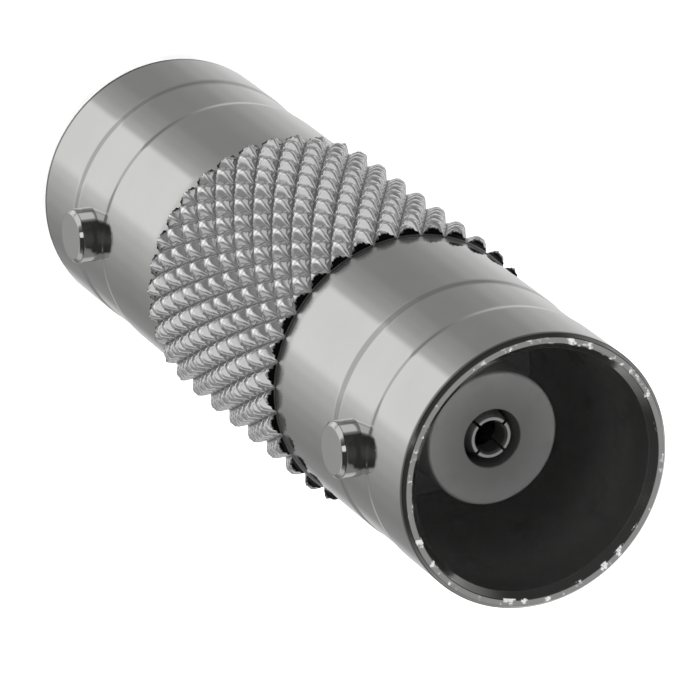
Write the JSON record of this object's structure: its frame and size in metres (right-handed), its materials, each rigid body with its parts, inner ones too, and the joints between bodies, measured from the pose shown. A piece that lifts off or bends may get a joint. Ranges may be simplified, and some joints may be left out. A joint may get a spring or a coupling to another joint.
{
  "type": "bnc connector",
  "caption": "Straight coaxial coupler: a bayonet jack at each end, studs on both barrels and a diamond-knurled grip between them.",
  "frame": {"origin": "middle of the rear rim, on which the coupler stands", "axes": "+Z along the coupler's axis to the front rim, +X along the bayonet studs"},
  "size_m": [0.011, 0.0104, 0.0312],
  "materials": {
    "nickel_plate": "polished",
    "contact_plate": "satin",
    "insulator": "satin"
  },
  "bodies": {
    "root": {"knurled_body": "nickel_plate", "front_jack_shell": "nickel_plate", "rear_insulator": "insulator", "front_insulator": "insulator", "centre_contact": "contact_plate", "rear_stud_left": "nickel_plate", "rear_stud_right": "nickel_plate", "front_stud_left": "nickel_plate", "front_stud_right": "nickel_plate"}
  },
  "joints": []
}
